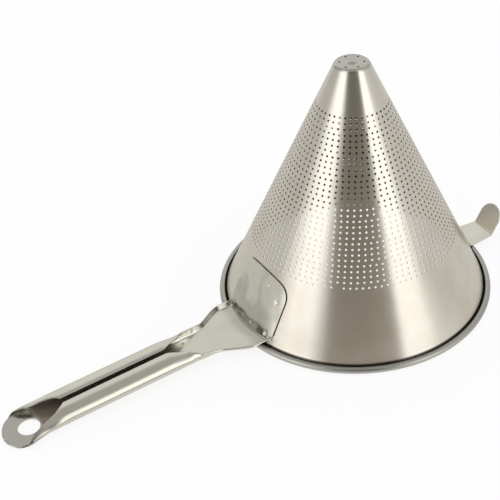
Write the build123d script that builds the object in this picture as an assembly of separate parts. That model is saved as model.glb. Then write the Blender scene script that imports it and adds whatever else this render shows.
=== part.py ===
from build123d import *
from math import asin, atan2, cos, degrees, hypot, pi, radians, sin, sqrt, tan
import os

# A conical strainer of sheet steel, standing mouth down on its rim, tip up.
# The origin is on the cone's axis, level with the surface that the rim stands on.
# +Z points to the tip and +X runs along the handle. Lengths are in millimetres.

# Cone
rim_radius = 100.0  # axis to the outside of the rolled rim
cone_height = 184.6  # standing surface to the top of the tip
tip_radius = 11.5  # flat top of the tip, to where it meets the wall
cone_sheet = 0.8
flats = 60  # flats that the round walls are drawn with

# Rolled rim and the wire inside it
bead_diameter = 5.2
bead_flats = 11  # sides of the roll, one of which lies flat on the standing surface
flats_before_seat = 2.5  # sides from the wall to the middle of that flat one
wire_clearance = 0.15
wire_sides = 8

# Perforations, in rings round the wall
ring_count = 10
first_ring = 31.0  # along the wall, from the tip's edge to the highest ring
ring_pitch = 12.63  # along the wall
hole_across = 3.0
hole_sides = 6
first_ring_holes = 12
rings_per_group = 2  # neighbouring rings with the same number of holes
holes_added = 3  # from one group to the next
start_turn = 51.0  # from the handle to the first hole of each ring

# Tip
tip_shoulder = 1.6  # rounding between the flat and the wall
tip_hole_count = 6
tip_hole_circle = 8.15
tip_hole_diameter = 1.7
tip_hole_turn = 25.2
cap_radius = 9.6
nipple_radius = 3.8  # foot of the raised nipple
nipple_top_radius = 2.4
nipple_height = 0.9
dimple_diameter = 1.2
dimple_depth = 0.4

# Handle, pressed from one sheet
handle_sheet = 1.2
seat_gap = 0.05  # between the wall and what is welded to it
bead_gap = 0.95  # between the rim and the sheet that passes over it
grip_width = 30.0
grip_height = 10.7
grip_slope = 0.03  # fall of the handle per length along it
slot_width = 4.0
level_run = 8.0  # from the rim, where the plate starts to fall
grip_start_run = 59.0  # from the rim, where the flare has closed to the grip's tube
grip_length = 77.0  # to where the tube starts to open to the tab
opening_length = 30.5  # to where the tube's walls stop on the tab
hang_hole_inset = 5.3  # from where the walls stop, back to the hang hole
hang_hole_diameter = 15.2
tab_radius = 18.15
flange_tuck = 9.0  # how far inside the rim the flanges start
plate_lap = 1.0  # how far past the rim the foot's ring reaches into the plate

# Pad of the handle on the cone
pad_half_width = 26.7
pad_top = 48.0
pad_corner = 12.0
pad_crown = 4.9  # rise of the pad's top edge from its sides to its middle
flange_height = 3.8  # of the flare's edges, above the plate's underside
flange_foot = 23.0  # half width of the plate between the flanges
bend_radius = 2.5
bend_flats = 3

# Weld spots
weld_diameter = 2.6
weld_clearance = 0.05
weld_dimple = 0.3
weld_sides = 8

# Rest hook, bent from one strip
hook_sheet = 1.2
hook_width = 20.8
hook_turn_flats = 29  # flats from the handle round to the hook
hook_gap = 0.5  # between the rim and the hook's arm
hook_reach = 14.8  # from the rim to the fold of the hook's tab
hook_tab_length = 20.2  # from the fold to the tab's round end
hook_lean = 33.0  # degrees, of the tab outwards from upright
hook_bend_radius = 1.2
hook_pad_top = 27.0
hook_weld_share = 0.27  # of the strip's width, from its middle to a weld
hook_weld_low = 13.0
hook_weld_high = 21.0

overrun = 5.0  # how far a cutter runs past what it cuts

# Places of the handle's weld spots: along the pad's half width, and along its height
handle_weld_shares = [(0.80, 0.71), (0.39, 0.86), (0.80, 0.245), (0.19, 0.25)]

# The flare, from the pad to the grip: place along it, half width of the flat bottom in the
# grip's half widths, corner radius in half the grip's height, turn of the corner as a share
# of a half turn, and length of the straight edge in the grip's height
flare_shares = [
    (0.000, 1.536, 0.374, 0.31, 0.31),
    (0.176, 1.536, 0.374, 0.31, 0.31),
    (0.250, 1.398, 0.374, 0.31, 0.32),
    (0.382, 1.071, 0.374, 0.29, 0.32),
    (0.456, 0.894, 0.374, 0.29, 0.34),
    (0.515, 0.820, 0.393, 0.32, 0.38),
    (0.574, 0.782, 0.467, 0.38, 0.39),
    (0.632, 0.762, 0.579, 0.48, 0.31),
    (0.691, 0.728, 0.692, 0.62, 0.19),
    (0.750, 0.694, 0.766, 0.83, 0.09),
    (0.809, 0.673, 0.832, 1.00, 0.10),
    (0.904, 0.653, 0.935, 1.00, 0.43),
]
flare_steps = 18

# The open end, from the grip to where the walls stop on the tab, in the same terms
end_shares = [
    (0.08, 0.65, 0.99, 1.00, 0.35),
    (0.33, 0.75, 0.86, 1.00, 0.22),
    (0.62, 0.90, 0.65, 1.00, 0.20),
    (0.85, 1.01, 0.50, 1.00, 0.10),
    (1.00, 1.05, 0.41, 1.00, 0.02),
]
end_steps = 7
corner_flats = 5  # sides of each rounded corner of the grip

flare_start = rim_radius - flange_tuck
grip_start = rim_radius + grip_start_run
grip_end = grip_start + grip_length
wall_end = grip_end + opening_length
hang_hole_place = wall_end - hang_hole_inset
bead_radius = bead_diameter / 2
curl_radius = bead_radius - cone_sheet
roll_r = rim_radius - bead_radius


def wall_lean(roll_z):
    """Angle between the cone's wall and its axis, where the wall runs into the roll."""
    run = roll_r - tip_radius
    rise = cone_height - roll_z
    return atan2(run, rise) - asin(curl_radius / hypot(run, rise))


# The roll turns in equal sides, and the one at the bottom lies flat: its height and the
# wall's angle depend on each other, so both are worked out in a few rounds.
roll_z = bead_radius
for attempt in range(6):
    lean = wall_lean(roll_z)
    roll_step = (pi / 2 - lean) / flats_before_seat
    roll_z = bead_radius * cos(roll_step / 2)
lean = wall_lean(roll_z)
roll_start = pi + lean
bead_top = roll_z + bead_radius


def roll_point(radius, angle):
    return (roll_r + radius * cos(angle), roll_z + radius * sin(angle))


def wall_r(z, proud=0.0):
    """Radius at height z of a cone that stands proud of the wall's outside by a distance."""
    foot_r, foot_z = roll_point(curl_radius, roll_start)
    return foot_r - (z - foot_z) * tan(lean) + proud / cos(lean)


def around(r, z, turn):
    return Vector(r * cos(turn), r * sin(turn), z)


def turned(outline):
    """A closed outline of (r, z) corners, turned round the axis in flats."""
    step = 2 * pi / flats
    faces = []
    for k in range(flats):
        near, far = k * step, (k + 1) * step
        for (r1, z1), (r2, z2) in zip(outline, outline[1:] + outline[:1]):
            corners = [around(r1, z1, near), around(r2, z2, near)]
            corners += [around(r2, z2, far), around(r1, z1, far)]
            faces.append(Face(Wire.make_polygon(corners)))
    return Solid(Shell(faces))


def wall_plane(z, turn, proud=0.0):
    """A plane on the wall's outside, facing outwards."""
    return Plane(
        origin=around(wall_r(z, proud), z, turn),
        x_dir=(-sin(turn), cos(turn), 0),
        z_dir=(cos(lean) * cos(turn), cos(lean) * sin(turn), sin(lean)),
    )


def perforations():
    """One punch for each hole of the wall."""
    punch = extrude(RegularPolygon(hole_across / 2, hole_sides), cone_sheet * 2, both=True)
    punches = []
    for ring in range(ring_count):
        z = cone_height - (first_ring + ring * ring_pitch) * cos(lean)
        holes = first_ring_holes + holes_added * (ring // rings_per_group)
        for hole in range(holes):
            turn = radians(start_turn) + 2 * pi * hole / holes
            punches.append(punch.moved(wall_plane(z, turn).location))
    return punches


def tip_cap():
    """The middle of the tip: a flat with its pressed nipple and holes."""
    slope = atan2(nipple_height, nipple_radius - nipple_top_radius)
    narrower = cone_sheet * tan(slope / 2)
    nipple = Cone(nipple_radius, nipple_top_radius, nipple_height)
    hollow = Cone(nipple_radius - narrower, nipple_top_radius - narrower, nipple_height)
    dimple = extrude(RegularPolygon(dimple_diameter / 2, weld_sides), dimple_depth, both=True)
    cap = extrude(RegularPolygon(cap_radius, flats), -cone_sheet)
    cap += Pos(0, 0, nipple_height / 2) * nipple
    cap -= Pos(0, 0, nipple_height / 2 - cone_sheet) * hollow
    cap -= Pos(0, 0, nipple_height) * dimple
    hole = extrude(RegularPolygon(tip_hole_diameter / 2, hole_sides), cone_sheet * 2, both=True)
    for number in range(tip_hole_count):
        turn = radians(tip_hole_turn) + 2 * pi * number / tip_hole_count
        cap -= Pos(*around(tip_hole_circle, 0, turn)) * hole
    return Pos(0, 0, cone_height) * cap


def cone_body():
    """The one-piece cone: tip, perforated wall and the rim rolled outwards round its wire."""
    angles = [roll_start + roll_step * side for side in range(bead_flats + 1)]
    inside = [roll_point(curl_radius, angle) for angle in angles]
    outside = [roll_point(bead_radius, angle) for angle in angles]
    under = cone_height - cone_sheet
    shoulder_drop = tip_shoulder * tan(pi / 4 - lean / 2)
    shoulder_z = cone_height - shoulder_drop * cos(lean)
    outline = [(cap_radius, cone_height)]
    outline.append((wall_r(cone_height) - shoulder_drop, cone_height))
    outline.append((wall_r(shoulder_z), shoulder_z))
    outline += inside + outside[::-1]
    outline.append((wall_r(under, -cone_sheet), under))
    outline.append((cap_radius, under))
    return turned(outline) + tip_cap() - perforations()


def rim_wire():
    """The round wire that the rim is rolled over."""
    radius = curl_radius * cos(roll_step / 2) - wire_clearance
    angles = [2 * pi * side / wire_sides for side in range(wire_sides)]
    return turned([roll_point(radius, angle) for angle in angles])


def foot_line(sheet, sheet_z, top_z, depth):
    """A line down the wall and round the bend, at a depth inside the foot's outer side."""
    bend_z = sheet_z + sheet + bend_radius
    bend_r = wall_r(bend_z, seat_gap + sheet + bend_radius)
    radius = bend_radius + depth
    line = [(wall_r(top_z, seat_gap + sheet - depth), top_z)]
    for side in range(bend_flats + 1):
        angle = roll_start + (3 * pi / 2 - roll_start) * side / bend_flats
        line.append((bend_r + radius * cos(angle), bend_z + radius * sin(angle)))
    return line


def foot_ring(sheet, sheet_z, top_z, reach):
    """A ring of sheet that lies on the wall, bends outwards above the rim and runs level."""
    outside = foot_line(sheet, sheet_z, top_z, 0) + [(reach, sheet_z + sheet)]
    inside = foot_line(sheet, sheet_z, top_z, sheet) + [(reach, sheet_z)]
    return turned(outside + inside[::-1])


plate_z = bead_top + bead_gap


def underside(along):
    """Height of the handle's underside at a distance from the axis."""
    return plate_z - max(along - rim_radius - level_run, 0) * grip_slope


def channel(along, bottom_share, corner_share, turn_share, edge_share):
    """The handle's bent section at one place, as a face across it."""
    bottom = bottom_share * grip_width / 2
    corner = corner_share * grip_height / 2
    turn = turn_share * pi
    edge = edge_share * grip_height
    outer, inner = [], []
    for side in range(corner_flats + 1):
        angle = turn * side / corner_flats
        outer.append((bottom + corner * sin(angle), corner - corner * cos(angle)))
        reach = corner - handle_sheet
        inner.append((bottom + reach * sin(angle), corner - reach * cos(angle)))
    step = (edge * cos(turn), edge * sin(turn))
    outer.append((outer[-1][0] + step[0], outer[-1][1] + step[1]))
    inner.append((inner[-1][0] + step[0], inner[-1][1] + step[1]))
    half = outer + inner[::-1]
    mirrored = [(-across, up) for across, up in outer[::-1]]
    mirrored_inner = [(-across, up) for across, up in inner]
    plane = Plane(origin=(along, 0, underside(along)), x_dir=(0, 1, 0), z_dir=(1, 0, 0))
    corners = mirrored + outer + inner[::-1] + mirrored_inner
    return plane * make_face(Polyline(*corners, close=True))


def slope_at(rows, k, column):
    """Slope of a table's column at one of its rows, level at ends and at turning points."""
    if k in (0, len(rows) - 1):
        return 0
    before = (rows[k][column] - rows[k - 1][column]) / (rows[k][0] - rows[k - 1][0])
    after = (rows[k + 1][column] - rows[k][column]) / (rows[k + 1][0] - rows[k][0])
    if before * after <= 0:
        return 0
    return 2 * before * after / (before + after)


def eased(rows, place):
    """A table's values at a place between its rows, smooth and without overshoot."""
    k = max(k for k in range(len(rows) - 1) if rows[k][0] <= place)
    span = rows[k + 1][0] - rows[k][0]
    t = (place - rows[k][0]) / span
    values = []
    for column in range(1, len(rows[k])):
        rise = rows[k + 1][column] - rows[k][column]
        value = rows[k][column] + rise * t**2 * (3 - 2 * t)
        value += slope_at(rows, k, column) * span * t * (1 - t) ** 2
        value -= slope_at(rows, k + 1, column) * span * t**2 * (1 - t)
        values.append(value)
    return values


def grip():
    """The flare, the slotted tube and its open end, as one bent sheet."""
    bottom = 1 - grip_height / grip_width
    tail = (grip_width - grip_height - slot_width) / 2 / grip_height
    flare_rows = flare_shares + [(1, bottom, 1, 1, tail)]
    end_rows = [(0, bottom, 1, 1, tail)] + end_shares
    sections = []
    for step in range(flare_steps + 1):
        share = step / flare_steps
        along = flare_start + share * (grip_start - flare_start)
        sections.append(channel(along, *eased(flare_rows, share)))
    for step in range(end_steps + 1):
        share = step / end_steps
        along = grip_end + share * (wall_end - grip_end)
        sections.append(channel(along, *eased(end_rows, share)))
    return loft(sections, ruled=True)


def handle_outline():
    """The pad's outline seen along the handle, as a block through the foot ring."""
    shoulder = pad_top - pad_crown
    fold_top = plate_z + flange_height
    side = [(flange_foot, plate_z), (pad_half_width, fold_top), (pad_half_width, shoulder)]
    mirrored = [(-across, up) for across, up in side]
    with BuildSketch(Plane.YZ) as sketch:
        with BuildLine():
            Polyline(*(mirrored[::-1] + side))
            ThreePointArc(side[-1], (0, pad_top), mirrored[-1])
        make_face()
        corners = sketch.vertices().group_by(Axis.Y)[-1]
        fillet(corners, pad_corner)
    return extrude(sketch.sketch, rim_radius + overrun)


def inside_of_foot():
    """What lies within the middle of the foot's sheet, to trim the flanges' ends with."""
    line = foot_line(handle_sheet, plate_z, pad_top, handle_sheet / 2)
    low = plate_z - overrun
    return turned(line + [(line[-1][0], low), (tip_radius, low), (tip_radius, pad_top)])


def handle_weld_places():
    """Height and turn of each of the handle's weld spots."""
    places = []
    for across_share, up_share in handle_weld_shares:
        z = up_share * pad_top
        turn = asin(across_share * pad_half_width / wall_r(z))
        places += [(z, turn), (z, -turn)]
    return places


def weld_plugs(places, sheet, turn_to, slack=0.0, dimple=0.0):
    """Weld spots through a sheet that lies on the wall, or with slack the holes for them."""
    radius = weld_diameter / 2 + slack
    depth = sheet - dimple + slack * 2
    plug = extrude(RegularPolygon(radius, weld_sides), depth)
    plugs = []
    for z, turn in places:
        plugs.append(plug.moved(wall_plane(z, turn + turn_to, seat_gap - slack).location))
    return plugs


def tab():
    """The flat round end with its hang hole, tilted with the handle."""
    fall = atan2(grip_slope, 1)
    place = Plane(
        origin=(hang_hole_place, 0, underside(hang_hole_place)),
        x_dir=(cos(fall), 0, -sin(fall)),
        z_dir=(sin(fall), 0, cos(fall)),
    )
    disc = extrude(Circle(tab_radius), handle_sheet)
    kept = Pos(tab_radius + wall_end - hang_hole_place - handle_sheet, 0, 0) * Box(
        tab_radius * 2, tab_radius * 2, handle_sheet * 4
    )
    bore = Cylinder(hang_hole_diameter / 2, handle_sheet * 4)
    return place * (disc & kept), place * bore


def handle():
    """The handle in one sheet: pad, bend over the rim, flare, slotted grip and tab."""
    ring = foot_ring(handle_sheet, plate_z, pad_top + overrun, rim_radius + plate_lap)
    end, bore = tab()
    holes = weld_plugs(handle_weld_places(), handle_sheet, 0, weld_clearance)
    foot = ring & handle_outline()
    return foot + (grip() - inside_of_foot()) + end - bore - holes


def hook_weld_places():
    places = []
    for z in (hook_weld_low, hook_weld_high):
        turn = asin(hook_weld_share * hook_width / wall_r(z))
        places += [(z, turn), (z, -turn)]
    return places


def rest_hook():
    """The hook that rests on a pot's edge: pad, arm over the rim and rounded tab."""
    arm_z = bead_top + hook_gap
    arm_top = arm_z + hook_sheet
    turn = 90 - hook_lean
    outer_bend = hook_bend_radius + hook_sheet
    arm_start = rim_radius - overrun
    fold_reach = hook_bend_radius * tan(radians(turn) / 2)
    bend_start = rim_radius + hook_reach - fold_reach
    bend_z = arm_z + outer_bend
    with BuildSketch(Plane.XZ) as side:
        with BuildLine():
            Polyline((bend_start, arm_top), (arm_start, arm_top), (arm_start, arm_z))
            Line((arm_start, arm_z), (bend_start, arm_z))
            outer = CenterArc((bend_start, bend_z), outer_bend, 270, turn)
            inner = CenterArc((bend_start, bend_z), hook_bend_radius, 270, turn)
            Line(outer @ 1, inner @ 1)
        make_face()
    strip = extrude(side.sketch, hook_width / 2, both=True)
    rise, along = sin(radians(turn)), cos(radians(turn))
    tab_x = bend_start + hook_bend_radius * rise
    tab_z = bend_z - hook_bend_radius * along
    round_at = hook_tab_length - fold_reach - hook_width / 2
    with BuildSketch(Plane((tab_x, 0, tab_z), x_dir=(0, 1, 0), z_dir=(rise, 0, -along))) as front:
        with Locations((0, round_at)):
            Circle(hook_width / 2)
        with Locations((0, round_at / 2)):
            Rectangle(hook_width, round_at)
    strip = strip + extrude(front.sketch, hook_sheet)
    foot = foot_ring(hook_sheet, arm_z, hook_pad_top, rim_radius + plate_lap)
    pad = foot & Pos(rim_radius, 0, 0) * Box(
        rim_radius, hook_width, (hook_pad_top + overrun) * 2
    )
    holes = weld_plugs(hook_weld_places(), hook_sheet, 0, weld_clearance)
    turn_to = hook_turn_flats * 360 / flats
    return Rot(0, 0, turn_to) * (strip + pad - holes)


def save(name, shape):
    export_step(shape, f"parts/{name}.step")


os.makedirs("parts", exist_ok=True)
hook_turn = hook_turn_flats * 2 * pi / flats
save("cone_body", cone_body())
save("rim_wire", rim_wire())
save("handle", handle())
save("rest_hook", rest_hook())
handle_plugs = weld_plugs(handle_weld_places(), handle_sheet, 0, dimple=weld_dimple)
save("handle_welds", Compound(children=handle_plugs))
hook_plugs = weld_plugs(hook_weld_places(), hook_sheet, hook_turn, dimple=weld_dimple)
save("hook_welds", Compound(children=hook_plugs))
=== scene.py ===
import math

import bmesh
import bpy
from mathutils import Matrix, Vector


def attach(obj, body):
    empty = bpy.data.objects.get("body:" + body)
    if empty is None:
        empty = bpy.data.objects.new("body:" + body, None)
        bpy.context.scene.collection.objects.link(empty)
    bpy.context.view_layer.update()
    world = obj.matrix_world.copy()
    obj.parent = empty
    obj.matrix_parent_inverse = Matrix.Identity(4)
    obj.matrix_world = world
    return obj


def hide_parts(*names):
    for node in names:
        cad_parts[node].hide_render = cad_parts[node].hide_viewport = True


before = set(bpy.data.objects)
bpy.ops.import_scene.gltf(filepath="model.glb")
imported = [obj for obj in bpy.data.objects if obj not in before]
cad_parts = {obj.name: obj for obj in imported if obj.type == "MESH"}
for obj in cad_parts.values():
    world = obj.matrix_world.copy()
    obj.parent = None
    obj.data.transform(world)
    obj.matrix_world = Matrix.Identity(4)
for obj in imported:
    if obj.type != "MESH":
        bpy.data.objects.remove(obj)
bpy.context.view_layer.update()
mm = 0.001  # sizes here are typed in millimetres
mergeWithin = 0.03 * mm  # the cone's corners this close become one
borderReach = 0.3 * mm  # an open border is looked for this close to its place
lean = math.radians(24.746)  # the cone's wall against its axis


def deselectAll():
    if bpy.context.object and bpy.context.object.mode != 'OBJECT':
        bpy.ops.object.mode_set(mode='OBJECT')
    bpy.ops.object.select_all(action='DESELECT')


def activate(piece):
    deselectAll()
    piece.select_set(True)
    bpy.context.view_layer.objects.active = piece


def editOn(piece):
    activate(piece)
    bpy.ops.object.mode_set(mode='EDIT')


def editOff():
    bpy.ops.object.mode_set(mode='OBJECT')


def selectAll():
    bpy.ops.mesh.select_all(action='SELECT')


def smooth(degrees):
    bpy.ops.object.shade_smooth_by_angle(angle=math.radians(degrees))


def pick(piece, test, openOnly=False):
    # selects vertices by place, in edit mode, or an open border's edges between them
    bpy.ops.mesh.select_mode(type='VERT')
    bpy.ops.mesh.select_all(action='DESELECT')
    net = bmesh.from_edit_mesh(piece.data)
    chosen = {vertex for vertex in net.verts if test(vertex.co)}
    if openOnly:
        bpy.ops.mesh.select_mode(type='EDGE')
        for edge in net.edges:
            edge.select_set(edge.is_boundary and all(end in chosen for end in edge.verts))
    else:
        for vertex in chosen:
            vertex.select = True
        net.select_flush(True)
    bmesh.update_edit_mesh(piece.data)


def applyModifiers(piece):
    activate(piece)
    for modifier in list(piece.modifiers):
        bpy.ops.object.modifier_apply(modifier=modifier.name)


def joinPieces(pieces, name):
    deselectAll()
    for piece in pieces:
        piece.select_set(True)
    bpy.context.view_layer.objects.active = pieces[0]
    bpy.ops.object.join()
    joined = bpy.context.object
    joined.name = joined.data.name = name
    return joined


# Camera

photoView = {
    "turn": 144.7,  # degrees, from the camera's own frame to the part's
    "place": (0, -669.3, 544.9),
    "up": (0.0085, 0.6094, 0.7929),
    "back": (0.0893, -0.7902, 0.6063),
    "lens": 83.07,
    "sensor": 36,
    "clip": (0.01, 50),  # metres
}


def placeCamera(values):
    turn = Matrix.Rotation(math.radians(values["turn"]), 4, 'Z')
    back = Vector(values["back"]).normalized()
    right = Vector(values["up"]).cross(back).normalized()
    up = back.cross(right)
    place = Vector(values["place"]) * mm
    bpy.ops.object.camera_add(location=(0, 0, 0))
    camera = bpy.context.object
    camera.name = "photoCamera"
    camera.data.lens = values["lens"]
    camera.data.sensor_width = values["sensor"]
    camera.data.sensor_fit = 'HORIZONTAL'
    camera.data.clip_start, camera.data.clip_end = values["clip"]
    axes = Matrix((right, up, back)).transposed().to_4x4()
    camera.matrix_world = turn @ Matrix.Translation(place) @ axes
    bpy.context.scene.camera = camera


deselectAll()
placeCamera(photoView)
print("camera placed")

# Cone

coneSizes = {
    "height": 184.6,
    "tipRadius": 11.5,
    "seenSheet": 0.5,  # the thinner look of the holes' edges
    "holeRadius": 0.82,
    "holeCorners": 8,
    "cellGrowth": 2,  # of a hole's border, before it is put in place
    "missingHole": 1.2,  # reach of the fill where the last ring lacks a hole
    "firstRing": 31.0,  # down the wall from the tip's edge
    "ringPitch": 3.79,
    "rowsInBand": (3, 4, 4, 4, 3, 4, 4, 4, 1),
    "firstBandHoles": 42,
    "holesAdded": 8,
    "startTurn": (52.3, 49.4),  # degrees, first and last ring
    "bandGap": 0.5,  # half the strip of sheet between two bands of rings
    "gapReach": 0.8,
    "topRows": (7, 14, 21, 26),  # up the wall from the top ring of holes
    "plainRows": 8,  # down the wall from the bottom ring
    "beadCentre": (97.4, 2.6),
    "rollRadius": 1.8,
    "rollSteps": 17,
    "rollTurn": 282,
    # the tip's rounded edge and the small step down to its flat
    "shoulder": (
        (12.72, 181.95), (12.5, 182.5), (12.22, 183.02), (11.87, 183.48), (11.45, 183.87),
        (11.0, 184.17), (10.5, 184.4), (10.1, 184.52), (9.8, 184.6), (9.6, 184.58),
        (9.5, 184.5), (9.4, 184.45), (9.3, 184.45),
    ),
    "tipSeam": (9.0, 9.6),  # where the tip's flat is joined on
    "seamDepth": 0.25,  # how far under the flat its edge is looked for
    "plainBand": (10, 40),  # heights without holes
    "smooth": 38,  # degrees
}
lastRing = sum(coneSizes["rowsInBand"]) - 1
lastBand = len(coneSizes["rowsInBand"]) - 1


def wallRadius(down):
    return coneSizes["tipRadius"] + down * math.sin(lean)


def wallHeight(down):
    return coneSizes["height"] - down * math.cos(lean)


def onWall(down, turn):
    r = wallRadius(down) * mm
    return Vector((r * math.cos(turn), r * math.sin(turn), wallHeight(down) * mm))


def ringPlace(number):
    # how far down the wall a ring of holes lies
    return coneSizes["firstRing"] + number * coneSizes["ringPitch"]


def startTurn(down):
    # where round the axis a ring's first hole lies, which drifts a little down the wall
    first, last = coneSizes["startTurn"]
    share = (down - ringPlace(0)) / (lastRing * coneSizes["ringPitch"])
    return math.radians(first + (last - first) * share)


def makeCell(values):
    # a hole's edge and the border round it, flat at the origin and in edit mode
    bpy.ops.mesh.primitive_circle_add(
        vertices=values["holeCorners"], radius=values["holeRadius"], fill_type='NOTHING',
        enter_editmode=True, location=(0, 0, 0))
    bpy.ops.mesh.extrude_edges_move()
    bpy.ops.transform.resize(value=(values["cellGrowth"], values["cellGrowth"], 1))
    cell = bpy.context.object
    return cell, bmesh.from_edit_mesh(cell.data)


def onBorder(x, y, values):
    return math.hypot(x, y) > values["holeRadius"] * (1 + values["cellGrowth"]) / 2


def sideOf(number):
    # 1 or -1 for the two sides of a cell, and 0 for its middle
    return 0 if abs(number) < 0.1 else math.copysign(1, number)


def spinCell(cell, holes):
    # copies of the cell all round the axis, joined up
    bmesh.update_edit_mesh(cell.data)
    selectAll()
    bpy.ops.mesh.spin(
        steps=holes - 1, dupli=True, angle=2 * math.pi * (holes - 1) / holes,
        center=(0, 0, 0), axis=(0, 0, 1))
    selectAll()
    bpy.ops.mesh.remove_doubles(threshold=mergeWithin)


def holeRing(down, holes, above, below):
    # a strip of the wall with one ring of holes, reaching so far above and below them
    half = math.pi / holes
    cell, net = makeCell(coneSizes)
    for vertex in net.verts:
        x, y = vertex.co.x, vertex.co.y
        if onBorder(x, y, coneSizes):
            place = down - (above if y > 0 else below) * sideOf(y)
            vertex.co = onWall(place, startTurn(place) + sideOf(x) * half)
        else:
            vertex.co = onWall(down - y, startTurn(down) + x / wallRadius(down))
    spinCell(cell, holes)
    editOff()
    return cell


def pickRing(piece, height):
    # the open border that lies at a height
    pick(piece, lambda place: abs(place.z - height * mm) < borderReach, openOnly=True)


def sweepRing(line, radius, height):
    # draws the chosen border out along a line of radii and heights
    for r, z in line:
        bpy.ops.mesh.extrude_edges_move()
        bpy.ops.transform.resize(
            value=(r / radius, r / radius, 1), center_override=(0, 0, height * mm))
        bpy.ops.transform.translate(value=(0, 0, (z - height) * mm))
        radius, height = r, z


def rollPoint(values, share):
    # a point of the rolled rim: (radius, height)
    angle = math.pi + lean + math.radians(values["rollTurn"]) * share
    r, z = values["beadCentre"]
    return r + values["rollRadius"] * math.cos(angle), z + values["rollRadius"] * math.sin(angle)


def buildCone(values):
    rings = []
    joints = []  # places where two bands of rings meet
    half = values["ringPitch"] / 2
    for band, rows in enumerate(values["rowsInBand"]):
        holes = values["firstBandHoles"] + values["holesAdded"] * band
        for row in range(rows):
            above = half - (values["bandGap"] if row == 0 and band > 0 else 0)
            below = half - (values["bandGap"] if row == rows - 1 and band < lastBand else 0)
            rings.append(holeRing(ringPlace(len(rings)), holes, above, below))
        if band < lastBand:
            joints.append(ringPlace(len(rings) - 0.5))
    # the last ring lacks the hole before its start
    end = ringPlace(lastRing)
    missing = onWall(end, startTurn(end) - 2 * math.pi / holes)
    reach = values["missingHole"] * mm
    editOn(rings[-1])
    pick(rings[-1], lambda place: (place - missing).length < reach)
    bpy.ops.mesh.edge_face_add()
    editOff()
    print("rings of holes made:", len(rings))

    cone = joinPieces(rings, "perforatedCone")
    editOn(cone)
    selectAll()
    bpy.ops.mesh.remove_doubles(threshold=mergeWithin)
    for joint in joints:
        low = wallHeight(joint + values["gapReach"]) * mm
        high = wallHeight(joint - values["gapReach"]) * mm
        pick(cone, lambda place: low < place.z < high, openOnly=True)
        bpy.ops.mesh.bridge_edge_loops()
    print("bands joined")

    # from the top ring up over the rounded edge of the tip
    top = ringPlace(0) - half
    line = [(wallRadius(top - step), wallHeight(top - step)) for step in values["topRows"]]
    pickRing(cone, wallHeight(top))
    sweepRing(line + list(values["shoulder"]), wallRadius(top), wallHeight(top))

    # down the plain band and round the roll of the rim
    bottom = end + half
    radius, height = wallRadius(bottom), wallHeight(bottom)
    foot = rollPoint(values, 0)
    line = []
    for step in range(1, values["plainRows"] + 1):
        share = step / values["plainRows"]
        line.append((radius + (foot[0] - radius) * share, height + (foot[1] - height) * share))
    steps = values["rollSteps"]
    line += [rollPoint(values, step / steps) for step in range(1, steps + 1)]
    pickRing(cone, height)
    sweepRing(line, radius, height)
    print("rim rolled")
    editOff()
    return cone


# Tip

tipSizes = {
    "top": 184.45,
    "outer": 9.15,
    "inner": 6.95,
    "holeCircle": 8.1,
    "holeRadius": 0.8,
    "holeCorners": 16,
    "cellGrowth": 2,
    "holes": 6,
    "turn": 25.2,
    "nipple": (
        (5.5, 184.45), (4.15, 184.45), (3.85, 184.5), (3.45, 184.75), (3.0, 185.05),
        (2.4, 185.28), (1.7, 185.42), (1.05, 185.46), (0.75, 185.4), (0.6, 185.2), (0.45, 184.95),
    ),
}


def buildTip(values):
    # the flat's small holes, each in its own piece of ring, then the nipple
    half = math.pi / values["holes"]
    start = math.radians(values["turn"])
    circle = values["holeCircle"]
    tip, net = makeCell(values)
    for vertex in net.verts:
        x, y = vertex.co.x, vertex.co.y
        r, turn = circle + x, start + y / (circle + x)
        if onBorder(x, y, values):
            reach = max(abs(x), abs(y))
            r = circle + x / reach * (values["outer"] - circle if x > 0 else circle - values["inner"])
            turn = start + y / reach * half
        vertex.co = (r * mm * math.cos(turn), r * mm * math.sin(turn), values["top"] * mm)
    spinCell(tip, values["holes"])
    inside = values["inner"] * mm + borderReach
    pick(tip, lambda place: math.hypot(place.x, place.y) < inside, openOnly=True)
    sweepRing(values["nipple"], values["inner"], values["top"])
    bpy.ops.mesh.fill()
    editOff()
    return tip


def finishCone(cone, tip):
    piece = joinPieces([cone, tip], "perforatedCone")
    editOn(piece)
    low, high = (radius * mm for radius in coneSizes["tipSeam"])
    flatFrom = (tipSizes["top"] - coneSizes["seamDepth"]) * mm
    pick(
        piece, lambda place: place.z > flatFrom and low < math.hypot(place.x, place.y) < high,
        openOnly=True)
    bpy.ops.mesh.bridge_edge_loops()
    selectAll()
    bpy.ops.mesh.normals_make_consistent(inside=False)
    # an open sheet has no inside, so it is turned over if its wall faces the axis
    outward = 0
    low, high = (height * mm for height in coneSizes["plainBand"])
    for face in bmesh.from_edit_mesh(piece.data).faces:
        centre = face.calc_center_median()
        if low < centre.z < high:
            outward += face.normal.x * centre.x + face.normal.y * centre.y
    if outward < 0:
        bpy.ops.mesh.flip_normals()
    editOff()
    for _ in ("outside", "inside"):  # slots that get their steel later
        piece.data.materials.append(None)
    thick = piece.modifiers.new("sheet", 'SOLIDIFY')
    thick.thickness = coneSizes["seenSheet"] * mm
    thick.offset = -1
    thick.use_even_offset = False
    thick.material_offset = 1
    applyModifiers(piece)
    smooth(coneSizes["smooth"])
    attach(piece, "root")
    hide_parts("cone_body")
    return piece


conePiece = finishCone(buildCone(coneSizes), buildTip(tipSizes))
print("cone finished:", len(conePiece.data.polygons), "faces")

# Handle

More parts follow.
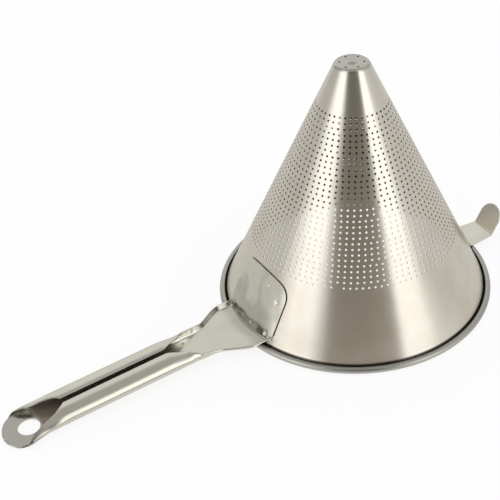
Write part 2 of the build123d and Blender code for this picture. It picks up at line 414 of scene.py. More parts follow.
sheetSides = ("underside", "upperSide", "paintedHighlightEdge", "seam")  # a pressed sheet's material slots
pressing = {
    "merge": 0.04,
    "levelPart": (106, 112, 8),  # from, to and half width of a stretch that lies level
    "sharp": 55,  # degrees
    "edgeSteps": 2,
    "seamFrom": 11.5,  # height
    "seamTo": 95,
    "seamProud": 0.8,  # off the cone's wall
    "smooth": 35,
}

handleSizes = {
    "sheet": 1.2,
    "edgeRound": 0.3,
    "roundedTo": 256,  # along the handle
    "seat": 0.05,  # off the cone's wall
    "underside": 6.083,
    "slope": 0.03,
    "levelEnd": 108.0,  # from here the handle slopes down
    "bendRadius": 2.5,
    "padHalfWidth": 26.7,
    "padTop": 48.0,
    "padCrown": 4.9,
    "padCorner": 12.0,
    "padRows": (9, 8),  # over the crown, and down the straight sides
    "rowSpread": 1.1,
    "crownSplit": 0.45,  # share of the outline where the crown meets the corner
    "crownShare": 0.30,  # of the outline, where the pad's first row ends
    "rowSag": 3,  # of a row's middle under its ends
    "flatShare": 0.862,  # of a pad row, that becomes the plate's flat
    "tabCentre": 261.2,
    "tabRadius": 18.1,
    "tabFrom": 262,
    "tabTuck": 0.98,  # share of the corner that stays inside the tab's circle
    "hangHoleRadius": 7.6,
    "hangHoleCorners": 64,
    "hangHoleDepth": 8,  # of its cutter
    "scoop": (240, 270, 5.5),  # from, to and width
    "scoopLimit": 0.6,  # share of the flat
    "archShare": 1.43,  # length of the arched stretch against the corner's radius
    "arch": 38,  # degrees, of the rolled sides towards the slot
    "archTurns": (140, 180),  # turns of the corner over which the arch comes in
    "across": (9, 7, 5),  # columns over the flat half, the corner and the straight edge
    "flangesFrom": 94,
    "flangeSlant": 0.35,
    "bendRows": 6,
    "bow": (96, 12, 23.0),  # from, length and half width of where rows straighten out
    "plateRows": (
        97.5, 99, *range(101, 146, 2), 147.5, 150, 152.5, 155, 157, 159, 175, 197, 220, 236, 237,
        238, 239.5, 241.5, 244, 247, 250, 253, 256, 258.5, 260.5, 262, 263.5, 265, 266.5, 268, 269.5,
    ),
    "endReach": 9.0,
    "endRows": (8, 20, 32, 44, 55, 65, 74, 82, 87.5),  # degrees, closer towards the end
    # the near side of the tab's fold sits a little further in, as pressed by hand
    "dent": {"place": (258, 17, 1), "within": 4, "push": -1.6, "reach": 16},
}

# along the handle, half width of the flat, corner radius, turn of the corner in degrees, straight edge
handleStations = (
    (93, 23.04, 2.0, 55, 3.35),
    (103, 23.04, 2.0, 55, 3.35),
    (108, 20.97, 2.0, 55, 3.48),
    (117, 16.07, 2.0, 53, 3.39),
    (122, 13.41, 2.0, 52, 3.59),
    (126, 12.30, 2.1, 57, 4.11),
    (130, 11.73, 2.5, 68, 4.14),
    (134, 11.43, 3.1, 86, 3.27),
    (138, 10.92, 3.7, 112, 2.3),
    (142, 10.41, 4.1, 150, 1.9),
    (146, 10.1, 4.45, 180, 2.1),
    (152.5, 9.8, 5.0, 180, 4.6),
    (159, 9.65, 5.35, 180, 7.65),
    (235.5, 9.65, 5.35, 180, 7.65),
    (239, 9.75, 5.3, 180, 4.9),
    (246, 11.2, 4.6, 180, 2.9),
    (255, 13.5, 3.5, 180, 2.1),
    (262, 15.1, 2.7, 178, 1.1),
    (266, 15.9, 1.9, 165, 0.3),
    (269, 15.9, 0.9, 100, 0.1),
    (272, 14.5, 0.4, 20, 0.05),
)


def clamp(value, low, high):
    return min(max(value, low), high)


def slopeAt(rows, k, column):
    if k in (0, len(rows) - 1):
        return 0
    before = (rows[k][column] - rows[k - 1][column]) / (rows[k][0] - rows[k - 1][0])
    after = (rows[k + 1][column] - rows[k][column]) / (rows[k + 1][0] - rows[k][0])
    if before * after <= 0:
        return 0
    return 2 * before * after / (before + after)


def stationAt(rows, along):
    # the section's measures between its stations, run smoothly from one to the next
    along = clamp(along, rows[0][0], rows[-1][0] - 0.0001)
    k = max(k for k in range(len(rows) - 1) if rows[k][0] <= along)
    span = rows[k + 1][0] - rows[k][0]
    t = (along - rows[k][0]) / span
    values = []
    for column in range(1, 5):
        rise = rows[k + 1][column] - rows[k][column]
        value = rows[k][column] + rise * t * t * (3 - 2 * t)
        value += slopeAt(rows, k, column) * span * t * (1 - t) ** 2
        value -= slopeAt(rows, k + 1, column) * span * t * t * (1 - t)
        values.append(value)
    return values


def coneRadius(z, proud=0.0):
    down = (coneSizes["height"] - z) / math.cos(lean)
    return wallRadius(down) + proud / math.cos(lean)


def handleUnderside(along):
    return handleSizes["underside"] - max(along - handleSizes["levelEnd"], 0) * handleSizes["slope"]


def bentPoint(b, rho, turn, tail, arch, widen, column):
    # a flat, then a corner, then an edge that may arch over: (across, height)
    flat, corner, edge = handleSizes["across"]
    if column <= flat:
        return Vector(((b - widen) * column / flat, 0))
    if column <= flat + corner:
        angle = turn * (column - flat) / corner
        reach = rho + widen if angle < math.pi / 2 else rho
        start = b - widen if angle < math.pi / 2 else b
        return Vector((start + reach * math.sin(angle), rho - rho * math.cos(angle)))
    share = (column - flat - corner) / edge
    heading = turn + arch * share / 2
    return Vector((
        b + rho * math.sin(turn) + tail * share * math.cos(heading),
        rho - rho * math.cos(turn) + tail * share * math.sin(heading),
    ))


def archedPoint(b, rho, turn, tail, widen, column):
    # where the sheet is rolled right over, its last stretch arches up to the slot
    v = handleSizes
    arch = math.radians(v["arch"])
    cornerTurn = math.pi - arch
    whole = rho * v["archShare"]
    curl = (2 * rho - whole * math.sin(cornerTurn + arch / 2)) / (1 - math.cos(cornerTurn))
    start = b + rho - curl
    lip = b + rho * math.sin(turn) + tail * math.cos(turn)
    room = lip - start - curl * math.sin(cornerTurn)
    part = 1.0
    for _ in range(4):
        part = room / (whole * math.cos(cornerTurn + arch * part / 2))
    return bentPoint(start, curl, cornerTurn, whole * part, arch * part, widen, column)


def sectionPoint(along, column):
    # one point of the bent section: (across, height)
    v = handleSizes
    b, rho, degrees, tail = stationAt(handleStations, along)
    turn = math.radians(degrees)
    if along > v["tabFrom"]:
        limit = v["tabRadius"] ** 2 - (along - v["tabCentre"]) ** 2
        room = math.sqrt(max(limit, 0.0))
        b = max(min(b, room - rho * min(math.sin(turn), 1) * v["tabTuck"]), 0.0)
    # near the tab the sheet swings up from its flat in a wider curve
    first, last, scoop = v["scoop"]
    widen = scoop * math.sin(math.pi * clamp((along - first) / (last - first), 0, 1))
    widen = min(max(widen, 0.0), b * v["scoopLimit"])
    point = bentPoint(b, rho, turn, tail, 0, widen, column)
    first, last = v["archTurns"]
    arched = clamp((degrees - first) / (last - first), 0, 1)
    arched *= arched * (3 - 2 * arched)
    if arched > 0:
        point = point.lerp(archedPoint(b, rho, turn, tail, widen, column), arched)
    return point.x, handleUnderside(along) + point.y


def padOutline(share):
    # half the pad's edge from its top middle, 0, to its straight side, 1: (across, height)
    v = handleSizes
    crownRadius = (v["padHalfWidth"] ** 2 + v["padCrown"] ** 2) / (2 * v["padCrown"])
    # the corner's circle touches the crown inside and the straight side
    centreY = v["padHalfWidth"] - v["padCorner"]
    crownZ = v["padTop"] - crownRadius
    centreZ = crownZ + math.sqrt((crownRadius - v["padCorner"]) ** 2 - centreY ** 2)
    tilt = math.atan2(centreY, centreZ - crownZ)
    split = v["crownSplit"]
    if share <= split:
        angle = tilt * share / split
        return crownRadius * math.sin(angle), crownZ + crownRadius * math.cos(angle)
    angle = tilt + (math.pi / 2 - tilt) * (share - split) / (1 - split)
    return centreY + v["padCorner"] * math.sin(angle), centreZ + v["padCorner"] * math.cos(angle)


def padPoint(across, z):
    r = coneRadius(z, handleSizes["seat"])
    turn = math.asin(min(across / r, 1))
    return Vector((r * math.cos(turn), r * math.sin(turn), z))


def bendAt(under, values):
    # the bend from the wall to the level part: (centre's radius, its height, outer radius)
    z = under + values["sheet"] + values["bendRadius"]
    r = coneRadius(z, handleSizes["seat"] + values["sheet"] + values["bendRadius"])
    return r, z, values["bendRadius"] + values["sheet"]


def bendPoint(bend, share):
    # a point of the under side in the bend: (radius, height)
    r, z, outer = bend
    angle = math.pi + lean + (math.pi / 2 - lean) * share
    return r + outer * math.cos(angle), z + outer * math.sin(angle)


def padRows(shares, seamZ):
    # each row of the pad runs level in the middle and up to its end on the outline
    v = handleSizes
    rows = []
    crownRows, sideRows = v["padRows"]
    sideZ = padOutline(1)[1]
    for step in range(crownRows + 1):
        t = step / crownRows
        endY, endZ = padOutline(v["crownShare"] + (1 - v["crownShare"]) * t)
        midZ = v["padTop"] + (sideZ - v["rowSag"] - v["padTop"]) * t ** v["rowSpread"]
        rows.append([padPoint(endY * s, midZ + (endZ - midZ) * s ** 2) for s in shares])
    for step in range(1, sideRows + 1):
        t = step / sideRows
        low = sideZ - v["rowSag"] + (seamZ - sideZ + v["rowSag"]) * t
        sag = v["rowSag"] * (1 - t)
        rows.append([padPoint(v["padHalfWidth"] * s, low + sag * s ** 2) for s in shares])
    return rows


def handleRows():
    # rows of points over half the sheet, from the pad's top edge to the tab's end
    v = handleSizes
    flat, corner, edge = v["across"]
    columns = range(flat + corner + edge + 1)
    share = v["flatShare"]
    shares = [
        share * min(k / flat, 1) + (1 - share) * max(k - flat, 0) / (corner + edge) for k in columns]
    bend = bendAt(v["underside"], v)
    bendR = bend[0]
    rows = padRows(shares, bendPoint(bend, 0)[1])
    padFoot = rows[-1]
    # the bend, and the flanges that rise out of it
    flanges = []
    for column in columns:
        y, z = sectionPoint(v["flangesFrom"], column)
        if column <= flat:
            x = math.sqrt(bendR ** 2 - y ** 2)
        else:
            x = flanges[flat].x - (y - flanges[flat].y) * v["flangeSlant"]
        flanges.append(Vector((x, y, z)))
    for step in range(1, v["bendRows"] + 1):
        t = step / v["bendRows"]
        r, z = bendPoint(bend, t)
        row = [foot.lerp(flange, t) for foot, flange in zip(padFoot, flanges)]
        for point in row[:flat + 1]:
            point.x, point.z = math.sqrt(r ** 2 - point.y ** 2), z
        rows.append(row)
    # the plate, straightening out, then the grip and the tab
    tabEnd = v["tabCentre"] + v["tabRadius"]
    places = list(v["plateRows"])
    places += [tabEnd - v["endReach"] * (1 - math.sin(math.radians(a))) for a in v["endRows"]]
    bowFrom, bowLength, bowWidth = v["bow"]
    for along in places:
        bow = max(0.0, 1 - (along - bowFrom) / bowLength)
        row = []
        for column in columns:
            y, z = sectionPoint(along, column)
            x = along - bow * (bendR - math.sqrt(bendR ** 2 - min(y, bowWidth) ** 2))
            row.append(Vector((x, y, z)))
        rows.append(row)
    return rows


def pressSheet(rows, values, name):
    # half a blank as a plain grid, every corner of it pressed to its place, then mirrored
    columns = len(rows[0])
    bpy.ops.mesh.primitive_grid_add(
        x_subdivisions=columns - 1, y_subdivisions=len(rows) - 1, size=1,
        enter_editmode=True, location=(0, 0, 0))
    sheet = bpy.context.object
    sheet.name = sheet.data.name = name
    for vertex in bmesh.from_edit_mesh(sheet.data).verts:
        column = round((vertex.co.x + 0.5) * (columns - 1))
        row = round((vertex.co.y + 0.5) * (len(rows) - 1))
        vertex.co = rows[row][column] * mm
    bmesh.update_edit_mesh(sheet.data)
    selectAll()
    bpy.ops.mesh.remove_doubles(threshold=pressing["merge"] * mm)
    editOff()
    mirror = sheet.modifiers.new("otherHalf", 'MIRROR')
    mirror.use_axis = (False, True, False)
    mirror.merge_threshold = pressing["merge"] * mm
    applyModifiers(sheet)
    editOn(sheet)
    selectAll()
    bpy.ops.mesh.normals_make_consistent(inside=False)
    # the level part next to the bend shows whether the under side faces down
    upward = 0
    first, last, half = pressing["levelPart"]
    for face in bmesh.from_edit_mesh(sheet.data).faces:
        centre = face.calc_center_median() / mm
        if first < centre.x < last and abs(centre.y) < half:
            upward += face.normal.z
    if upward > 0:
        bpy.ops.mesh.flip_normals()
    if "dent" in values:
        dent = values["dent"]
        middle = Vector(dent["place"]) * mm
        pick(sheet, lambda place: (place - middle).length < dent["within"] * mm)
        bpy.ops.transform.translate(
            value=(0, dent["push"] * mm, 0), use_proportional_edit=True,
            proportional_edit_falloff='SMOOTH', proportional_size=dent["reach"] * mm)
    editOff()
    thickenSheet(sheet, values)
    return sheet


def thickenSheet(sheet, values):
    for _ in sheetSides:  # slots that get their steel later
        sheet.data.materials.append(None)
    thick = sheet.modifiers.new("sheet", 'SOLIDIFY')
    thick.thickness = values["sheet"] * mm
    thick.offset = -1
    thick.use_even_offset = True
    thick.material_offset = sheetSides.index("upperSide")
    applyModifiers(sheet)
    # the sheet's cut edges are rounded, as tumbling leaves them
    editOn(sheet)
    bpy.ops.mesh.select_mode(type='EDGE')
    bpy.ops.mesh.select_all(action='DESELECT')
    bpy.ops.mesh.edges_select_sharp(sharpness=math.radians(pressing["sharp"]))
    net = bmesh.from_edit_mesh(sheet.data)
    for edge in net.edges:
        if max(end.co.x for end in edge.verts) > values["roundedTo"] * mm:
            edge.select = False
    net.select_flush_mode()
    bmesh.update_edit_mesh(sheet.data)
    # the rounded edges take a brighter steel, a painted highlight along them
    bpy.ops.mesh.bevel(
        offset=values["edgeRound"] * mm, segments=pressing["edgeSteps"], affect='EDGES',
        material=sheetSides.index("paintedHighlightEdge"))
    bpy.ops.mesh.select_mode(type='VERT')
    # the side of the pad is in the shadow of the seam where it lies on the wall
    for face in bmesh.from_edit_mesh(sheet.data).faces:
        place = face.calc_center_median() / mm
        proud = (math.hypot(place.x, place.y) - coneRadius(place.z)) * math.cos(lean)
        onWallSide = place.z > pressing["seamFrom"] and place.x < pressing["seamTo"]
        if onWallSide and proud < pressing["seamProud"]:
            face.material_index = sheetSides.index("seam")
    bmesh.update_edit_mesh(sheet.data)
    editOff()


def cutBy(piece, cutters):
    cutter = joinPieces(cutters, "cutter")
    cut = piece.modifiers.new("cut", 'BOOLEAN')
    cut.operation = 'DIFFERENCE'
    cut.solver = 'EXACT'
    cut.object = cutter
    applyModifiers(piece)
    deselectAll()
    cutter.select_set(True)
    bpy.ops.object.delete()


weldSizes = {
    # place across the pad and up it
    "places": ((21.4, 34.1), (10.4, 41.3), (21.4, 11.8), (5.1, 12.0)),
    "radius": 1.25,
    "corners": 20,
    "ball": 2.6,  # radius of the dimple's hollow
    "ballSteps": (24, 16),
    "depth": 0.32,
    "proud": 0.02,  # of the fused metal over the dimple's bottom
    "crown": (3, 0.28, 0.05),  # steps, each one's share inwards and its rise
    "smooth": 50,
}


def weldPlaces(values):
    # each spot's place on a pad's outer side, with the way out of the wall
    spots = []
    for across, z in values["places"]:
        for side in (1, -1):
            r = coneRadius(z, handleSizes["seat"] + handleSizes["sheet"])
            turn = side * math.asin(across / r)
            around = Vector((math.cos(turn), math.sin(turn), 0))
            out = around * math.cos(lean) + Vector((0, 0, math.sin(lean)))
            spots.append((around * r + Vector((0, 0, z)), out))
    return spots


def dimpleBalls(values):
    balls = []
    segments, rings = values["ballSteps"]
    for place, out in weldPlaces(values):
        centre = place + out * (values["ball"] - values["depth"])
        bpy.ops.mesh.primitive_uv_sphere_add(
            segments=segments, ring_count=rings, radius=values["ball"] * mm, location=centre * mm,
            rotation=out.to_track_quat('Z', 'Y').to_euler())
        balls.append(bpy.context.object)
    return balls


def hangHole(values):
    along = values["tabCentre"]
    bpy.ops.mesh.primitive_cylinder_add(
        vertices=values["hangHoleCorners"], radius=values["hangHoleRadius"] * mm,
        depth=values["hangHoleDepth"] * mm,
        location=(along * mm, 0, (handleUnderside(along) + values["sheet"] / 2) * mm),
        rotation=(0, math.atan(values["slope"]), 0))
    return bpy.context.object


handlePiece = pressSheet(handleRows(), handleSizes, "handleSheet")
cutBy(handlePiece, [hangHole(handleSizes)] + dimpleBalls(weldSizes))
activate(handlePiece)
smooth(pressing["smooth"])
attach(handlePiece, "root")
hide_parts("handle")
print("handle pressed:", len(handlePiece.data.polygons), "faces")


def buildWelds(values, name):
    # the fused metal at the bottom of each dimple, a low button
    buttons = []
    steps, share, rise = values["crown"]
    for place, out in weldPlaces(values):
        bpy.ops.mesh.primitive_circle_add(
            vertices=values["corners"], radius=values["radius"] * mm, fill_type='NGON',
            enter_editmode=True, location=(0, 0, 0))
        button = bpy.context.object
        selectAll()
        for _ in range(steps):
            bpy.ops.mesh.inset(thickness=values["radius"] * mm * share, depth=0)
            bpy.ops.transform.translate(value=(0, 0, rise * mm))
        editOff()
        turn = out.to_track_quat('Z', 'Y').to_matrix().to_4x4()
        sunk = place - out * (values["depth"] - values["proud"])
        button.data.transform(Matrix.Translation(sunk * mm) @ turn)
        buttons.append(button)
    welds = joinPieces(buttons, name)
    smooth(values["smooth"])
    return welds


weldPiece = buildWelds(weldSizes, "handleWeldSpots")
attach(weldPiece, "root")
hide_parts("handle_welds")
print("weld spots set")

# Rest hook

hookSizes = {
    "sheet": 1.2,
    "edgeRound": 0.3,
    "roundedTo": 400,  # all of it
    "turn": 174,  # degrees round from the handle
    "armUnder": 5.633,
    "bendRadius": 2.5,
    "padTop": 27.0,
    "padCorner": 5.0,
    "rootHalfWidth": 12.2,
    "foldHalfWidth": 10.6,
    "armFrom": 99.0,
    "armBow": (0.8, 1.2),  # how far its first row follows the bend, and how fast that fades
    "fold": (114.1, 8.05),  # of the upper side
    "foldRadius": 2.0,  # of the under side
    "lean": 28.7,
    "tabLength": 21.3,
    "columns": 14,
    "rows": (14, 6, 10),  # over the pad, each of the bends and the arm, and the tab
    "rowSpread": 1.3,
}
hookWelds = {**weldSizes, "places": ((5.6, 13.0), (5.6, 21.0))}


def hookRows(v):
    # rows of points over half the strip's under side, from its pad to its round end
    shares = [column / v["columns"] for column in range(v["columns"] + 1)]
    padSteps, bendSteps, tabSteps = v["rows"]
    bend = bendAt(v["armUnder"], v)
    bendR = bend[0]
    root, corner = v["rootHalfWidth"], v["padCorner"]
    rows = []
    for step in range(padSteps + 1):
        down = (v["padTop"] - bendPoint(bend, 0)[1]) * (step / padSteps) ** v["rowSpread"]
        inset = corner - math.sqrt(max(corner ** 2 - max(corner - down, 0) ** 2, 0))
        rows.append([padPoint((root - inset) * s, v["padTop"] - down) for s in shares])
    for step in range(1, bendSteps + 1):
        r, z = bendPoint(bend, step / bendSteps)
        rows.append([Vector((math.sqrt(r ** 2 - (root * s) ** 2), root * s, z)) for s in shares])
    # the under side's own fold lies outside the upper side's
    foldX, foldZ = v["fold"]
    startX = v["armFrom"]
    rise = math.atan2(foldZ - v["sheet"] - v["armUnder"], foldX - startX)
    heading = math.pi / 2 - math.radians(v["lean"])
    half = (heading - rise) / 2
    middle = (heading + rise) / 2
    outX = foldX + v["sheet"] / math.cos(half) * math.sin(middle)
    outZ = foldZ - v["sheet"] / math.cos(half) * math.cos(middle)
    reach = v["foldRadius"] * math.tan(half)
    beginX = outX - reach * math.cos(rise)
    beginZ = outZ - reach * math.sin(rise)
    bow, fade = v["armBow"]
    line = [(startX, v["armUnder"], bow)]
    for step in range(1, bendSteps + 1):
        share = step / bendSteps
        line.append((
            startX + (beginX - startX) * share, v["armUnder"] + (beginZ - v["armUnder"]) * share,
            max(0.0, bow - share * fade)))
    centreX = beginX - v["foldRadius"] * math.sin(rise)
    centreZ = beginZ + v["foldRadius"] * math.cos(rise)
    for step in range(1, bendSteps + 1):
        angle = rise + (heading - rise) * step / bendSteps
        x = centreX + v["foldRadius"] * math.sin(angle)
        line.append((x, centreZ - v["foldRadius"] * math.cos(angle), 0))
    for x, z, bow in line:
        share = clamp((x - startX) / (foldX - startX), 0, 1)
        half = root + (v["foldHalfWidth"] - root) * share
        row = []
        for s in shares:
            back = bow * (bendR - math.sqrt(bendR ** 2 - (half * s) ** 2))
            row.append(Vector((x - back, half * s, z)))
        rows.append(row)
    endX, endZ, _ = line[-1]
    begun = (endX - outX) * math.cos(heading) + (endZ - outZ) * math.sin(heading)
    radius = v["foldHalfWidth"]
    straight = v["tabLength"] - radius
    # the rows bow out more and more until the last one is the half circle of the end
    for step in range(1, tabSteps + 1):
        t = step / tabSteps
        row = []
        for s in shares:
            angle = s * math.pi / 2
            place = begun + (straight + radius * math.cos(angle) - begun) * t
            y = radius * (s + (math.sin(angle) - s) * t)
            row.append(Vector((outX + place * math.cos(heading), y, outZ + place * math.sin(heading))))
        rows.append(row)
    return rows


hookPiece = pressSheet(hookRows(hookSizes), hookSizes, "restHookStrip")
cutBy(hookPiece, dimpleBalls(hookWelds))
hookWeldPiece = buildWelds(hookWelds, "hookWeldSpots")
for piece, nodeName in ((hookPiece, "rest_hook"), (hookWeldPiece, "hook_welds")):
    editOn(piece)
    selectAll()
    bpy.ops.transform.rotate(
        value=-math.radians(hookSizes["turn"]), orient_axis='Z', center_override=(0, 0, 0))
    editOff()
    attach(piece, "root")
    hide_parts(nodeName)
activate(hookPiece)
smooth(pressing["smooth"])
print("rest hook bent:", len(hookPiece.data.polygons), "faces")

# Steel


def feed(owner, made, inputs):
    # each input takes a plain value or another node's output
    for key, value in inputs.items():
        if isinstance(value, bpy.types.NodeSocket):
            owner.node_tree.links.new(value, made.inputs[key])
        else:
            made.inputs[key].default_value = value


def node(owner, kind, inputs=None, **settings):
    made = owner.node_tree.nodes.new(kind)
    for key, value in settings.items():
        setattr(made, key, value)
    feed(owner, made, inputs or {})
    return made.outputs


def work(owner, operation, *numbers, kind='ShaderNodeMath'):
    return node(owner, kind, dict(enumerate(numbers)), operation=operation)


def ramp(owner, value, reach, ends=(0, 1), curve='SMOOTHSTEP'):
    # where the value runs over its reach, the result runs from one end to the other
    inputs = {"Value": value, "From Min": reach[0], "From Max": reach[1]}
    inputs.update({"To Min": ends[0], "To Max": ends[1]})
    return node(owner, 'ShaderNodeMapRange', inputs, interpolation_type=curve)["Result"]


def blend(owner, share, first, second, kind='RGBA', **settings):
    # the first where the share is 0, the second where it is 1
    inputs = {"Factor": share, "A": first, "B": second}
    return node(owner, 'ShaderNodeMix', inputs, data_type=kind, **settings)["Result"]


def noise(owner, place, scale, detail, **more):
    inputs = {"Vector": place, "Scale": scale, "Detail": detail, **more}
    return node(owner, 'ShaderNodeTexNoise', inputs)["Fac"]


def stretched(owner, place, scale):
    return node(owner, 'ShaderNodeMapping', {"Vector": place, "Scale": scale})["Vector"]


def relief(owner, height, strength, depth):
    inputs = {"Height": height, "Strength": strength, "Distance": depth * mm}
    return node(owner, 'ShaderNodeBump', inputs)["Normal"]


def placeOn(owner, kind="Object"):
    # the coordinates, whole and in parts
    place = node(owner, 'ShaderNodeTexCoord')[kind]
    return place, node(owner, 'ShaderNodeSeparateXYZ', {"Vector": place})


def inMetres(pair):
    return [number * mm for number in pair]


def spreadFrom(number, spread):
    return [number + part for part in spread]


def steel(name, values):
    metal = bpy.data.materials.new(name)
    metal.use_nodes = True
    shader = metal.node_tree.nodes["Principled BSDF"]
    feed(metal, shader, {"Metallic": 1, "Roughness": values["roughness"]})
    return metal, shader


coneSteel = {
    "colour": (0.82, 0.795, 0.735, 1),
    "greaseColour": (0.74, 0.69, 0.60, 1),
    # the next colour is painted shade on the tip and its shoulder
    "tipShadeColour": (0.60, 0.60, 0.56, 1),
    "rimSeamShadeAndBeadTone": (0.16, 0.14, 0.12, 1),  # painted shade on the wall's foot, in the seam behind the roll
    "roughness": 0.22,
    "anisotropic": 0.85,
}
# the inside's colours are the outside's darkened, painted shade inside the cone; its steel is also
# rougher
coneInsideSteel = {
    "colour": (0.46, 0.43, 0.385, 1),
    "greaseColour": (0.38, 0.34, 0.29, 1),
    "tipShadeColour": (0.42, 0.40, 0.36, 1),
    "rimSeamShadeAndBeadTone": (0.51, 0.515, 0.49, 1),  # the roll shows the sheet's inner side
    "roughness": 0.36,
    "anisotropic": 0.5,
}
coneFinish = {
    "gleamTurn": 0.25,  # the gleam runs across the brush lines
    "cloudScale": 26,
    "cloudRoughness": 0.6,
    "cloudReach": (0.38, 0.68),
    "greaseHeights": (30, 150),
    "greaseShares": (0.75, 0.25),
    "tipFrom": (182.2, 183.4),
    "rimTo": (5.0, 5.6),
    "lineStretch": (3, 1, 9000),
    "roughSpread": (-0.05, 0.07),
    "lineStrength": 0.12,
    "lineDepth": 0.03,
}


def brushedConeSteel(values, name):
    # fine lines run round the cone, under a slow change of tone
    finish = coneFinish
    metal, shader = steel(name, values)
    place, parts = placeOn(metal)
    # grease clouds and a browner tone towards the rim
    clouds = noise(metal, place, finish["cloudScale"], 3, Roughness=finish["cloudRoughness"])
    patches = ramp(metal, clouds, finish["cloudReach"])
    height = ramp(
        metal, parts["Z"], inMetres(finish["greaseHeights"]), finish["greaseShares"], 'LINEAR')
    amount = work(metal, 'MULTIPLY', patches, height)["Value"]
    tone = blend(metal, amount, values["colour"], values["greaseColour"])
    # the tip and its shoulder are painted darker, painted shade on the cone's upturned top
    capped = ramp(metal, parts["Z"], inMetres(finish["tipFrom"]))
    tone = blend(metal, capped, tone, values["tipShadeColour"])
    # and the rolled rim has a colour of its own: painted shade in the seam on the outer side, the
    # bead's tone on the inner side
    rolled = ramp(metal, parts["Z"], inMetres(finish["rimTo"]), (1, 0), 'LINEAR')
    tone = blend(metal, rolled, tone, values["rimSeamShadeAndBeadTone"])
    turn = work(metal, 'ARCTAN2', parts["Y"], parts["X"])["Value"]
    unrolled = node(metal, 'ShaderNodeCombineXYZ', {"X": turn, "Z": parts["Z"]})["Vector"]
    lines = noise(metal, stretched(metal, unrolled, finish["lineStretch"]), 1, 3)
    rough = spreadFrom(values["roughness"], finish["roughSpread"])
    feed(metal, shader, {
        "Base Color": tone,
        "Roughness": ramp(metal, lines, (0, 1), rough, 'LINEAR'),
        "Normal": relief(metal, lines, finish["lineStrength"], finish["lineDepth"]),
        "Anisotropic": values["anisotropic"],
        "Anisotropic Rotation": finish["gleamTurn"],
        "Tangent": node(metal, 'ShaderNodeTangent', direction_type='RADIAL', axis='Z')["Tangent"],
    })
    return metal


handleSteel = {
    "colour": (0.735, 0.735, 0.67, 1),
    # the next colour is a painted reflection on the pad, in swirls
    "padReflectionColour": (0.56, 0.55, 0.51, 1),
    "tabColour": (0.46, 0.46, 0.425, 1),
    # the next colour is painted shade inside the closed grip
    "gripShadeColour": (0.20, 0.165, 0.135, 1),
    "roughness": 0.17,
    "padWave": 0.8,
    "sheetWave": 0.12,
    "greyFrom": (252, 262),
    "darkFrom": (142, 152),
    "darkTo": (251.5, 257),
    "insideMetal": 0.25,
}
hookSteel = {
    "colour": (0.83, 0.82, 0.755, 1),
    "padReflectionColour": (0.72, 0.71, 0.65, 1),
    # painted shade on the hook's tab, bent up and seen from its inner side
    "tabColour": (0.66, 0.64, 0.57, 1),
    "roughness": 0.2,
    "padWave": 0.3,
    "sheetWave": 0.12,
    "greyFrom": (112.5, 115),
}
# a brighter steel for the rounded edges, a painted highlight
edgeSteel = {
    "colour": (0.93, 0.92, 0.88, 1),
    "padReflectionColour": (0.86, 0.85, 0.8, 1),
    "tabColour": (0.86, 0.85, 0.8, 1),
    "roughness": 0.3,
    "padWave": 0.2,
    "sheetWave": 0.1,
    "greyFrom": (252, 262),
}
sheetFinish = {
    "padEnd": (98, 106),
    "scratchStretch": (60, 900, 900),
    "roughSpread": (-0.05, 0.09),
    "waveScale": 34,
    "waveDepth": 4,
    # swirls of painted reflection on the pad
    "swirlScale": 36,
    "swirlDistortion": 0.9,
    "swirlReach": (0.42, 0.62),
    "swirlShares": (1, 0.12),  # on the pad and past it
}


def polishedHandleSteel(values, name="polishedHandleSteel"):
    # bright pressed sheet with faint long scratches and a soft painted reflection
    finish = sheetFinish
    metal, shader = steel(name, values)
    place, parts = placeOn(metal)
    scratches = noise(metal, stretched(metal, place, finish["scratchStretch"]), 1, 4)
    rough = spreadFrom(values["roughness"], finish["roughSpread"])
    # the pad on the cone was hammered down, so it waves more than the rest
    along = work(metal, 'ABSOLUTE', parts["X"])["Value"]  # the hook lies at negative x
    padEnd = inMetres(finish["padEnd"])
    wave = ramp(metal, along, padEnd, (values["padWave"], values["sheetWave"]))
    waves = noise(metal, place, finish["waveScale"], 1)
    # swirls of painted reflection on the pad, plain on the plate and grip, greyer on the tab, which on
    # the rest hook is painted shade
    onPad = ramp(metal, along, padEnd, finish["swirlShares"])
    swirl = noise(metal, place, finish["swirlScale"], 1, Distortion=finish["swirlDistortion"])
    reflectionStreak = ramp(metal, swirl, finish["swirlReach"])
    amount = work(metal, 'MULTIPLY', onPad, reflectionStreak)["Value"]
    paintedReflection = blend(metal, amount, values["colour"], values["padReflectionColour"])
    onTab = ramp(metal, along, inMetres(values["greyFrom"]))
    feed(metal, shader, {
        "Base Color": blend(metal, onTab, paintedReflection, values["tabColour"]),
        "Roughness": ramp(metal, scratches, (0, 1), rough, 'LINEAR'),
        "Normal": relief(metal, waves, wave, finish["waveDepth"]),
    })
    return metal


wireAndSeamShadeSteel = {
    "colour": (0.10, 0.09, 0.08, 1),
    "rustColour": (0.16, 0.11, 0.075, 1),
    "roughness": 0.55,
    "rustScale": 300,
    "rustReach": (0.45, 0.65),
    "reliefStrength": 0.3,
    "reliefDepth": 0.1,
}


def darkWireAndSeamShade(values):
    # the hidden wire keeps its dull drawn skin, with a little rust; the same dark steel is painted
    # shadow on the sheets' sides where they lie on the cone's wall
    metal, shader = steel("darkRimWireAndSeamShade", values)
    place, _ = placeOn(metal)
    spots = noise(metal, place, values["rustScale"], 4)
    patches = ramp(metal, spots, values["rustReach"])
    feed(metal, shader, {
        "Base Color": blend(metal, patches, values["colour"], values["rustColour"]),
        "Normal": relief(metal, spots, values["reliefStrength"], values["reliefDepth"]),
    })
    return metal


